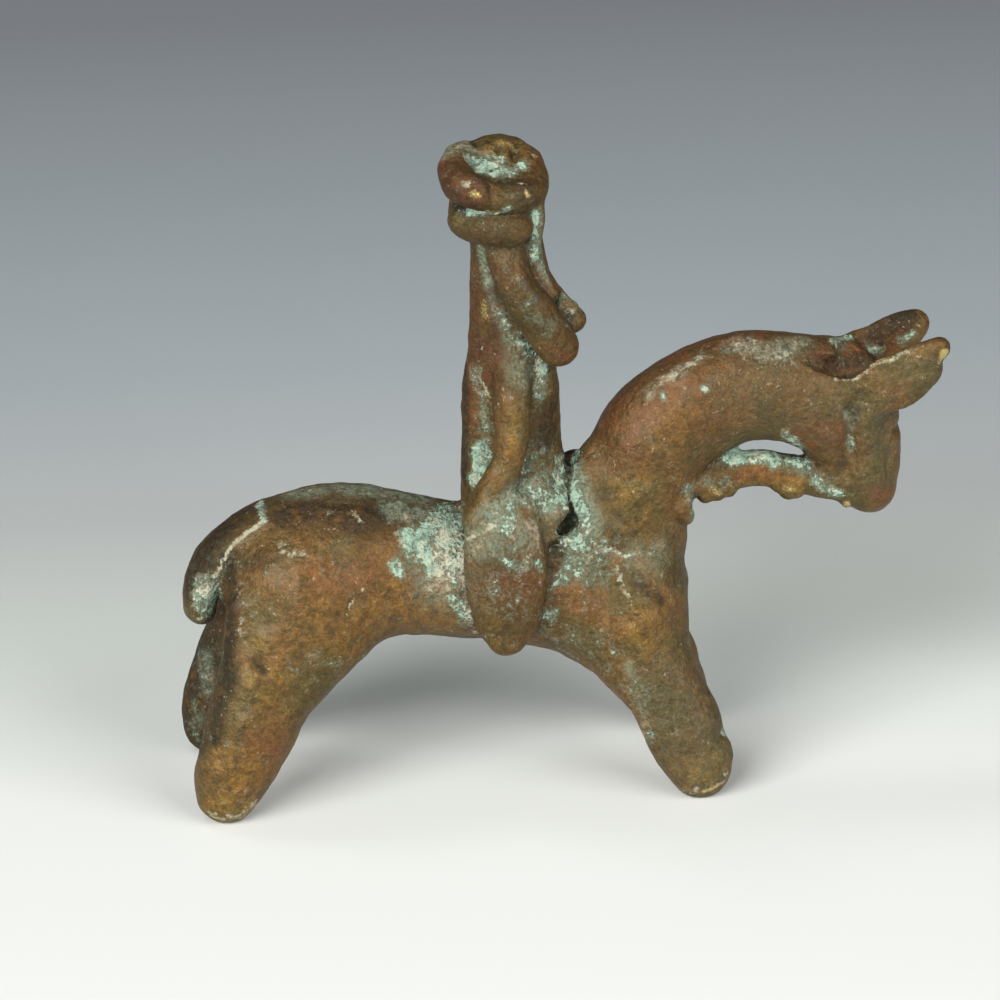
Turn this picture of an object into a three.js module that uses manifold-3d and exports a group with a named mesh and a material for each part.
// A small horse and rider, cast solid in one piece in copper alloy over a model built up from rolls of wax.
// Lengths are in millimetres. X runs from the tail to the ears, Y to the horse's left and Z up from the floor.
import * as THREE from "three";
import { mergeVertices } from "three/addons/utils/BufferGeometryUtils.js";
import { SimplifyModifier } from "three/addons/modifiers/SimplifyModifier.js";
import Module from "manifold-3d";

// The horse
const BELLY_HEIGHT = 12.4; // floor to the underside of the barrel
const BARREL_RADIUS = 5.75;
const HIND_FOOT_X = -23.8; // feet, from the rider's middle
const FRONT_FOOT_X = 16.1;
const FAR_FOOT_BACK = 0.25; // the far hind foot stands this much further back
const STANCE = 6.6; // middle of the body to the middle of a foot
const FOOT_RADIUS = 2.6;
const FOOT_WEAR = 0.3; // how much is rubbed off flat under each foot
const NECK_RADIUS = 4.9;
const NECK_RISE = 10.3; // back of the horse to the middle of the arched neck
const NECK_REACH = 15.9; // root of the neck to the poll
const MUZZLE_RADIUS = 1.8;
const MUZZLE_DROP = 9.1; // poll to muzzle
const EAR_LENGTH = 7.3;
const EAR_THICKNESS = 2.0;
const FAR_EAR_LIFT = 0.6; // the far ear is this much higher and further back
const TAIL_THICKNESS = 3.1;
const REIN_THICKNESS = 2.3;

// The rider
const SEAT_X = 0.8;
const RIDER_HEIGHT = 31.4; // the horse's back to the top of the headgear
const WAIST_RADIUS = 4.1;
const ARM_THICKNESS = 3.0;
const THIGH_RADIUS = 3.4;
const THIGH_LENGTH = 10.9; // seat to the toe
const TURBAN_ROLL = 2.8; // thickness of the roll round the head
const TURBAN_RADIUS = 3.3; // to the middle of that roll
const STRAP_THICKNESS = 3.3;
const CORD_THICKNESS = 1.9;

// The wax
const SOFT = 3.0; // how far two limbs run into each other
const PRESSED = 0.7; // the same for a roll that is only pressed on
const GRID_STEP = 0.45;
const TRIANGLES = 9400;

const BARREL_Z = BELLY_HEIGHT + BARREL_RADIUS;
const BACK_Z = BARREL_Z + BARREL_RADIUS;
const NECK_X = 11.5;
const POLL = [NECK_X + NECK_REACH, 0, BACK_Z + NECK_RISE - 0.9];
const MUZZLE = [POLL[0] + 3.7, 0, POLL[2] - MUZZLE_DROP];
const NEAR = -1;
const FAR = 1;

// A station is [x, y, z, radius, half width across]. A roll is a smooth chain of stations.
const rolls = [];
const CURVE_STEPS = 5;

function roll(stations, { blend = PRESSED, across = [0, 1, 0], cut = false } = {}) {
  const places = stations.map(([x, y, z]) => new THREE.Vector3(x, y, z));
  const sizes = stations.map(([, , , r, w]) => new THREE.Vector3(r, w ?? r, 0));
  const path = new THREE.CatmullRomCurve3(places, false, "catmullrom", 0.5);
  const girth = new THREE.CatmullRomCurve3(sizes, false, "catmullrom", 0.5);
  const count = (stations.length - 1) * CURVE_STEPS;
  const rings = [];
  for (let i = 0; i <= count; i++) {
    const centre = path.getPoint(i / count);
    const size = girth.getPoint(i / count);
    rings.push([centre.x, centre.y, centre.z, size.x, size.y]);
  }
  rolls.push({ rings, blend, across: new THREE.Vector3(...across).normalize(), cut });
}

const moved = (origin, stations) =>
  stations.map(([x, y, z, ...sizes]) => [origin[0] + x, origin[1] + y, origin[2] + z, ...sizes]);

function lump(centre, [rx, ry, rz], options) {
  const half = Math.max(rx - rz, 0.05);
  const [x, y, z] = centre;
  roll([[x - half, y, z, rz, ry], [x + half, y, z, rz, ry]], options);
}

// Barrel, rump and chest, in one thick roll
function trunk() {
  const stations = [
    [-19.6, 2.0, 0.8],
    [-16.8, 2.1, 1.02],
    [-13.6, 2.4, 1.06],
    [-10.1, 1.7, 1.05],
    [-5.4, 0.9, 0.99],
    [0.8, 0.0, 1.0],
    [5.6, -0.9, 1.02],
    [9.6, -1.7, 0.94],
  ];
  roll(stations.map(([x, dz, k]) => [x, 0, BARREL_Z + dz, BARREL_RADIUS * k]));
}

// A leg stands from the barrel to the floor: [x, share of the stance, share of the height, share of the foot]
function leg(side, footX, stations) {
  const foot = FOOT_RADIUS - FOOT_WEAR;
  roll(
    stations.map(([dx, spread, rise, girth, width]) => [
      footX + dx,
      side * STANCE * spread,
      foot + (BARREL_Z - foot) * rise,
      FOOT_RADIUS * girth,
      FOOT_RADIUS * width,
    ]),
    { blend: 3.6 },
  );
}

function legs() {
  for (const side of [NEAR, FAR]) {
    leg(side, HIND_FOOT_X - (side === FAR ? FAR_FOOT_BACK : 0), [
      [6.8, 0.64, 0.88, 2.1, 1.35],
      [5.1, 0.74, 0.7, 1.85, 1.3],
      [3.6, 0.83, 0.56, 1.62, 1.2],
      [2.6, 0.91, 0.42, 1.5, 1.1],
      [1.6, 0.96, 0.27, 1.4, 1.05],
      [0.6, 0.99, 0.12, 1.24, 1.0],
      [0, 1.0, 0, 1.0, 0.95],
    ]);
    leg(side, FRONT_FOOT_X, [
      [-6.0, 0.5, 0.88, 1.7, 1.3],
      [-4.9, 0.66, 0.64, 1.56, 1.2],
      [-3.0, 0.79, 0.44, 1.27, 1.1],
      [-1.8, 0.88, 0.29, 1.28, 1.05],
      [-1.2, 0.94, 0.17, 1.26, 0.98],
      [-0.4, 0.98, 0.06, 1.14, 0.93],
      [0, 1.0, 0, 1.0, 0.86],
    ]);
  }
}

function neckAndHead() {
  const rise = NECK_RISE / 10.3;
  const reach = NECK_REACH / 15.9;
  const neck = [
    [-1.4, -5.2, 0.86],
    [-0.7, -1.4, 0.92],
    [0.0, 2.2, 0.99],
    [1.5, 6.0, 1.02],
    [4.6, 8.7, 0.98],
    [7.5, 10.1, 0.96],
    [10.6, 10.4, 0.94],
    [13.6, 9.9, 0.96],
    [15.7, 9.2, 0.96],
  ];
  roll(
    neck.map(([dx, dz, k]) => [
      NECK_X + dx * reach,
      0,
      BACK_Z + (dz > 0 ? dz * rise : dz),
      NECK_RADIUS * k,
      NECK_RADIUS * k * 0.88,
    ]),
    { blend: SOFT },
  );
  const drop = MUZZLE_DROP / 9.1;
  const head = [
    [0.1, 0.0, 4.4, 3.3],
    [1.8, -2.4, 4.2, 3.0],
    [2.3, -4.8, 3.95, 2.7],
    [3.1, -7.2, 3.05, 2.4],
    [3.6, -8.6, 2.3, 2.1],
    [3.7, -9.2, MUZZLE_RADIUS, 1.8],
  ];
  roll(moved(POLL, head.map(([x, z, r, w]) => [x, 0, z * drop, r, w])), { blend: 1.5 });
}

function ears() {
  const length = EAR_LENGTH / 6.6;
  const thin = EAR_THICKNESS / 2;
  for (const side of [NEAR, FAR]) {
    const lift = side === FAR ? FAR_EAR_LIFT : 0;
    const ear = [
      [1.9, 2.0, 0.5, 3.1],
      [4.2, 2.4, 1.7, 3.0],
      [6.3, 2.7, 3.1, 2.4],
      [7.6, 2.8, 4.0, 1.6],
    ];
    roll(
      moved(
        POLL,
        ear.map(([x, y, z, r]) => [1.9 - lift + (x - 1.9) * length, side * y, z + lift, r - 0.6 * lift, thin]),
      ),
      { blend: PRESSED },
    );
  }
  const groove = [
    [-1.6, 0.2, 5.3, 0.7],
    [2.0, 0.2, 4.3, 1.0],
    [6.0, 0.1, 4.4, 1.4],
    [10.0, 0.1, 5.6, 1.7],
  ];
  roll(moved(POLL, groove), { blend: 0.9, cut: true });
}

function tail() {
  const thick = TAIL_THICKNESS / 2;
  const stations = [
    [-19.6, 6.0, 1.0],
    [-21.6, 4.9, 1.03],
    [-23.8, 3.1, 1.03],
    [-25.2, 0.6, 1.0],
    [-25.4, -1.7, 0.92],
  ];
  roll(
    stations.map(([x, dz, k]) => [x, 0, BARREL_Z + dz, thick * k, thick * k * 1.6]),
    { blend: PRESSED },
  );
}

// The rein is a rod from the front of the neck to the chin, with what is left of its binding
function rein() {
  const thick = REIN_THICKNESS / 2;
  const start = [NECK_X + NECK_RADIUS + 0.2, -1.2, BACK_Z + 2.6];
  const end = [MUZZLE[0] - 2.0, -0.2, MUZZLE[2] + 0.4];
  const arch = (share) => 6.2 * share * (1 - share) * (1.25 - 0.5 * share);
  const along = (share, lift) => [
    THREE.MathUtils.lerp(start[0], end[0], share),
    THREE.MathUtils.lerp(start[1], end[1], share),
    THREE.MathUtils.lerp(start[2], end[2], share) + lift,
  ];
  const rod = [0, 0.15, 0.35, 0.62, 0.82, 1];
  roll(rod.map((share) => [...along(share, arch(share) - 0.3), thick * 1.02, thick * 1.4]));
  const binding = thick * 0.55;
  roll([0.04, 0.2].map((share) => [...along(share, -thick * 0.9), binding]), { blend: 0.3 });
  roll([0.63, 0.69].map((share) => [...along(share, -0.05), binding]), { blend: 0.3 });
  const curl = [
    [-0.4, -0.4, -0.4, 0.55],
    [-1.1, -1.0, -1.0, 0.6],
    [-1.4, -1.2, -2.1, 0.65],
    [-1.2, -1.0, -3.3, 0.5],
  ];
  roll(moved(start, curl), { blend: 0.3 });
}

// Everything on the rider is measured from the seat, at the height that the rider has
function onRider(stations) {
  const scale = RIDER_HEIGHT / 31.4;
  return stations.map(([x, y, z, ...sizes]) => [SEAT_X + x, y, BACK_Z + z * scale, ...sizes]);
}

function torso() {
  const k = WAIST_RADIUS / 4.1;
  roll(
    onRider([
      [-0.9, 0, 24.7, 2.5 * k, 2.4],
      [-0.8, 0, 19.8, 2.7 * k, 2.5],
      [-0.2, 0, 14.9, 3.35 * k, 2.7],
      [-0.1, 0, 11.8, 3.9 * k, 2.7],
      [0.0, 0, 7.3, 4.1 * k, 2.9],
      [0.2, 0, 2.8, 4.4 * k, 3.4],
      [0.3, 0, -1.8, 4.5 * k, 3.9],
    ]),
  );
}

// What fills the fold between the rider and the neck, with a deep crevice left on the near side
function pommel() {
  const lap = [
    [1.0, 0, 3.4, 1.6],
    [2.2, 0, 1.2, 2.0],
    [2.6, 0, -1.0, 2.1],
  ];
  for (const side of [NEAR, FAR])
    roll(onRider(lap.map(([x, , z, r], i) => [x, side * (3.0 + 0.6 * i), z, r, 1.5])), { blend: 0.9 });
  roll(onRider([[5.2, -3.6, -2.6, 1.9], [5.2, 3.6, -2.4, 2.2]]), { blend: 0.9 });
  roll(onRider([[5.5, 1.0, 0, 1.8, 1.9], [5.4, 0.9, 3.2, 1.5, 1.5]]), { blend: 0.4 });
  const crevice = [
    [5.3, -1.9, 5.0, 0.55],
    [4.9, -2.4, 2.8, 0.35],
    [4.5, -3.2, 1.4, 0.6],
    [4.4, -4.0, 0.4, 0.95],
    [4.4, -5.2, 0.1, 1.0],
  ];
  roll(onRider(crevice), { blend: 0.4, cut: true });
}

function arms() {
  const r = ARM_THICKNESS / 2;
  for (const side of [NEAR, FAR]) {
    roll(
      onRider([
        [-0.4, side * 2.4, 13.9, r * 1.1],
        [-0.1, side * 3.2, 11.4, r],
        [-0.3, side * 3.6, 8.9, r * 0.97],
        [-0.9, side * 4.0, 6.0, r * 0.97],
        [-2.2 + (side === FAR ? 2.0 : 0), side * 4.6, 3.6, r],
        [-3.2 + (side === FAR ? 2.4 : 0), side * 5.0, 1.6, r],
      ]),
      { blend: 0.4 },
    );
  }
}

function thighs() {
  const length = THIGH_LENGTH / 10.9;
  for (const side of [NEAR, FAR]) {
    const out = side * (BARREL_RADIUS + 0.45);
    roll(
      [
        [-1.1, -1.1, 0.8, 0.95],
        [-1.2, -0.3, -1.3, 1.0],
        [-1.0, 0, -4.3, 0.98],
        [-1.0, 0, -6.7, 0.8],
        [-1.1, -0.1, -8.6, 0.5],
      ].map(([x, inset, z, k]) => [
        SEAT_X + x + (side === FAR ? 1.2 : 0),
        out - side * Math.abs(inset),
        BACK_Z + z * length,
        THIGH_RADIUS * k,
        1.6,
      ]),
      { blend: 0.5 },
    );
  }
}

// The head is a plain band with a roll wound round its top, hollow inside, and two ends hanging in front
function headgear() {
  roll(onRider([[-1.8, -1.4, 26.6, 2.1, 3.5], [-1.6, 1.4, 27.4, 2.3, 3.4]]), { blend: 0.5, across: [1, 0, 0] });
  const ring = TURBAN_RADIUS / 3.3;
  const tube = TURBAN_ROLL / 2.8;
  const wound = (stations) =>
    onRider(stations.map(([x, y, z, r]) => [-1.4 + x * ring, y * ring, 30.1 + z, r * tube]));
  // the roll starts thick in front, goes round by the back and its thinner end meets it in front
  roll(
    wound([
      [-1.4, -3.2, -0.6, 1.35],
      [-2.6, -2.8, -0.2, 1.5],
      [-3.2, -1.3, 0.1, 1.55],
      [-3.1, 0.5, 0.6, 1.4],
      [-2.1, 2.0, 0.8, 1.15],
      [-0.6, 3.0, 1.0, 1.05],
      [0.9, 3.2, 1.0, 1.0],
    ]),
    { blend: 0.35 },
  );
  roll(
    wound([
      [-0.4, -3.2, -1.1, 1.15],
      [1.2, -3.0, -1.1, 1.25],
      [2.7, -1.9, -1.1, 1.25],
      [3.2, 0.0, -0.7, 1.25],
      [3.0, 1.7, 0.2, 1.15],
      [1.9, 2.9, 0.8, 1.05],
    ]),
    { blend: 0.35 },
  );
  lump(onRider([[-1.3, 0.6, 28.7]])[0], [2.9, 3.0, 1.8], { blend: 0.4 });
  const strap = STRAP_THICKNESS / 2;
  roll(
    onRider([
      [-0.5, -2.4, 25.2, strap * 0.95],
      [-0.2, -2.9, 23.1, strap * 0.94],
      [0.4, -3.1, 21.1, strap * 0.94],
      [1.4, -3.2, 19.3, strap],
      [2.6, -3.1, 17.4, strap * 1.08],
      [3.5, -2.9, 15.9, strap * 1.04],
    ]),
    { blend: 0.35 },
  );
  const cord = CORD_THICKNESS / 2;
  roll(
    onRider([
      [1.6, -0.6, 27.6, cord],
      [1.5, -0.6, 24.8, cord],
      [1.8, -0.7, 22.4, cord],
      [2.8, -0.8, 20.2, cord],
      [3.9, -0.9, 18.7, cord * 1.1],
      [4.9, -1.0, 17.4, cord * 1.25],
    ]),
    { blend: 0.5 },
  );
}

// Distance to a roll: each ring is an ellipse, with the half width along the roll's across direction
function distanceTo({ rings, across }, x, y, z) {
  let best = Infinity;
  for (let i = 0; i + 1 < rings.length; i++) {
    const [ax, ay, az, ar, aw] = rings[i];
    const [bx, by, bz, br, bw] = rings[i + 1];
    const [dx, dy, dz] = [bx - ax, by - ay, bz - az];
    const [px, py, pz] = [x - ax, y - ay, z - az];
    const share = (px * dx + py * dy + pz * dz) / (dx * dx + dy * dy + dz * dz);
    const t = Math.min(1, Math.max(0, share));
    const [qx, qy, qz] = [px - t * dx, py - t * dy, pz - t * dz];
    const side = qx * across.x + qy * across.y + qz * across.z;
    const rest = Math.max(0, qx * qx + qy * qy + qz * qz - side * side);
    const r = ar + t * (br - ar);
    const w = aw + t * (bw - aw);
    const k0 = Math.sqrt(rest / (r * r) + (side * side) / (w * w));
    const k1 = Math.sqrt(rest / (r * r * r * r) + (side * side) / (w * w * w * w));
    const d = k1 > 1e-9 ? (k0 * (k0 - 1)) / k1 : -Math.min(r, w);
    if (d < best) best = d;
  }
  return best;
}

function smoothMin(a, b, k) {
  const h = Math.max(k - Math.abs(a - b), 0) / k;
  return Math.min(a, b) - (h * h * k) / 4;
}

// The figure as a field on a grid, negative inside the metal
function makeField() {
  const box = new THREE.Box3();
  for (const { rings, cut } of rolls)
    for (const [x, y, z, r, w] of rings)
      if (!cut) box.union(new THREE.Box3().setFromCenterAndSize(new THREE.Vector3(x, y, z), new THREE.Vector3(1, 1, 1).multiplyScalar(2 * Math.max(r, w))));
  box.expandByScalar(3 * GRID_STEP);
  const size = box.getSize(new THREE.Vector3());
  const count = [size.x, size.y, size.z].map((s) => Math.ceil(s / GRID_STEP) + 1);
  const origin = [box.min.x, box.min.y, box.min.z];
  const value = new Float32Array(count[0] * count[1] * count[2]).fill(1e3);
  const reach = SOFT + 3 * GRID_STEP;
  for (const one of rolls) {
    const low = [Infinity, Infinity, Infinity];
    const high = [-Infinity, -Infinity, -Infinity];
    for (const [x, y, z, r, w] of one.rings)
      [x, y, z].forEach((c, axis) => {
        low[axis] = Math.min(low[axis], c - Math.max(r, w) - reach);
        high[axis] = Math.max(high[axis], c + Math.max(r, w) + reach);
      });
    const from = low.map((c, a) => Math.max(0, Math.floor((c - origin[a]) / GRID_STEP)));
    const to = high.map((c, a) => Math.min(count[a] - 1, Math.ceil((c - origin[a]) / GRID_STEP)));
    for (let k = from[2]; k <= to[2]; k++)
      for (let j = from[1]; j <= to[1]; j++)
        for (let i = from[0]; i <= to[0]; i++) {
          const at = i + count[0] * (j + count[1] * k);
          const d = distanceTo(one, origin[0] + i * GRID_STEP, origin[1] + j * GRID_STEP, origin[2] + k * GRID_STEP);
          value[at] = one.cut ? -smoothMin(-value[at], d, one.blend) : smoothMin(value[at], d, one.blend);
        }
  }
  return { value, count, origin };
}

// The six tetrahedra of a grid cell: corners are numbered by their bits, x 1, y 2, z 4
const TETRAHEDRA = [
  [1, 2, 4, false],
  [2, 4, 1, false],
  [4, 1, 2, false],
  [1, 4, 2, true],
  [2, 1, 4, true],
  [4, 2, 1, true],
].map(([a, b, c, odd]) => ({ corners: [0, a, a + b, a + b + c], odd }));

// Whether putting the inside corners first turns the tetrahedron inside out
function isOddOrder(order) {
  let swaps = 0;
  for (let i = 0; i < order.length; i++) for (let j = 0; j < i; j++) if (order[j] > order[i]) swaps++;
  return swaps % 2 === 1;
}

// The closed surface between the negative and the positive grid points
function skin({ value, count, origin }) {
  const [nx, ny, nz] = count;
  const positions = [];
  const index = [];
  const vertexOf = new Map();
  const shift = (bits) => (bits & 1) + nx * (((bits >> 1) & 1) + ny * ((bits >> 2) & 1));

  const crossing = (cell, at, one, other) => {
    const [low, high] = one < other ? [one, other] : [other, one];
    const start = at + shift(low);
    const key = start * 8 + (high - low);
    if (!vertexOf.has(key)) {
      const v = value[start];
      const t = Math.min(0.94, Math.max(0.06, v / (v - value[at + shift(high)])));
      vertexOf.set(key, positions.length / 3);
      for (let axis = 0; axis < 3; axis++) {
        const from = (low >> axis) & 1;
        const to = (high >> axis) & 1;
        positions.push(origin[axis] + GRID_STEP * (cell[axis] + from + t * (to - from)));
      }
    }
    return vertexOf.get(key);
  };

  for (let k = 0; k < nz - 1; k++)
    for (let j = 0; j < ny - 1; j++)
      for (let i = 0; i < nx - 1; i++) {
        const at = i + nx * (j + ny * k);
        let inside = 0;
        for (let bits = 0; bits < 8; bits++) if (value[at + shift(bits)] < 0) inside++;
        if (inside === 0 || inside === 8) continue;
        for (const { corners, odd } of TETRAHEDRA) {
          const isIn = corners.map((bits) => value[at + shift(bits)] < 0);
          const order = [0, 1, 2, 3].filter((c) => isIn[c]).concat([0, 1, 2, 3].filter((c) => !isIn[c]));
          const many = isIn.filter(Boolean).length;
          if (many === 0 || many === 4) continue;
          const [a, b, c, d] = order.map((c) => corners[c]);
          const edges = {
            1: [[a, b], [a, c], [a, d]],
            2: [[a, c], [a, d], [b, d], [b, c]],
            3: [[a, d], [b, d], [c, d]],
          }[many];
          const ring = edges.map(([one, other]) => crossing([i, j, k], at, one, other));
          if (isOddOrder(order) !== odd) ring.reverse();
          for (let v = 2; v < ring.length; v++) index.push(ring[0], ring[v - 1], ring[v]);
        }
      }
  const geometry = new THREE.BufferGeometry();
  geometry.setAttribute("position", new THREE.Float32BufferAttribute(positions, 3));
  geometry.setIndex(index);
  return geometry;
}

// Evens out the grid's steps: each vertex goes part of the way to the mean of its neighbours, and back again
function relax(geometry, rounds) {
  const at = geometry.attributes.position.array;
  const index = geometry.index.array;
  const count = at.length / 3;
  for (let round = 0; round < 2 * rounds; round++) {
    const sum = new Float32Array(at.length);
    const near = new Uint16Array(count);
    for (let i = 0; i < index.length; i++) {
      const from = index[i];
      const to = index[i % 3 === 2 ? i - 2 : i + 1];
      near[from]++;
      for (let axis = 0; axis < 3; axis++) sum[3 * from + axis] += at[3 * to + axis];
    }
    const step = round % 2 ? -0.52 : 0.5;
    for (let i = 0; i < at.length; i++) at[i] += step * (sum[i] / near[(i / 3) | 0] - at[i]);
  }
}

// The edges where the thinned surface touches itself
function pinches({ index, attributes }) {
  const uses = new Map();
  for (let i = 0; i < index.count; i++) {
    const a = index.getX(i);
    const b = index.getX(i % 3 === 2 ? i - 2 : i + 1);
    const key = Math.min(a, b) * attributes.position.count + Math.max(a, b);
    uses.set(key, (uses.get(key) ?? 0) + 1);
  }
  const corner = (i) => new THREE.Vector3().fromBufferAttribute(attributes.position, i);
  return [...uses]
    .filter(([, times]) => times !== 2)
    .map(([key]) => [corner(Math.floor(key / attributes.position.count)), corner(key % attributes.position.count)]);
}

function solid(wasm, geometry) {
  const bare = geometry.clone();
  for (const name of ["normal", "uv"]) bare.deleteAttribute(name);
  const merged = mergeVertices(bare, 1e-4);
  return new wasm.Manifold(
    new wasm.Mesh({
      numProp: 3,
      vertProperties: merged.attributes.position.array,
      triVerts: new Uint32Array(merged.index.array),
    }),
  );
}

// Thins the mesh to the triangle budget, closes its pinches and rubs the feet flat on the floor
async function cast() {
  const wasm = await Module();
  wasm.setup();
  const full = skin(makeField());
  relax(full, 3);
  const spare = full.attributes.position.count - TRIANGLES / 2;
  const thinned = await new SimplifyModifier().modify(full, Math.max(0, spare));
  let body = solid(wasm, thinned);
  for (const [a, b] of pinches(thinned)) {
    const dab = new THREE.OctahedronGeometry(a.distanceTo(b) * 0.7 + 0.15);
    dab.translate((a.x + b.x) / 2, (a.y + b.y) / 2, (a.z + b.z) / 2);
    body = body.add(solid(wasm, dab));
  }
  const reach = 2 * FRONT_FOOT_X - 2 * HIND_FOOT_X;
  const floor = new THREE.BoxGeometry(reach, reach, 10);
  floor.translate(0, 0, -5);
  const mesh = body.subtract(solid(wasm, floor)).getMesh();
  const geometry = new THREE.BufferGeometry();
  geometry.setAttribute("position", new THREE.Float32BufferAttribute(mesh.vertProperties, 3));
  geometry.setIndex(new THREE.Uint32BufferAttribute(mesh.triVerts, 1));
  geometry.computeBoundingBox();
  const middle = geometry.boundingBox.getCenter(new THREE.Vector3());
  geometry.translate(-middle.x, -middle.y, 0);
  geometry.computeVertexNormals();
  return geometry;
}

trunk();
legs();
neckAndHead();
ears();
tail();
torso();
arms();
pommel();
thighs();
headgear();
rein();

const bronze = new THREE.MeshStandardMaterial({ color: 0x6e4f34, roughness: 0.45, metalness: 0.85 });
const figure = new THREE.Mesh(await cast(), bronze);
figure.name = "horse_and_rider";

const group = new THREE.Group();
group.name = "equestrian_statuette";
group.add(figure);
export default group;
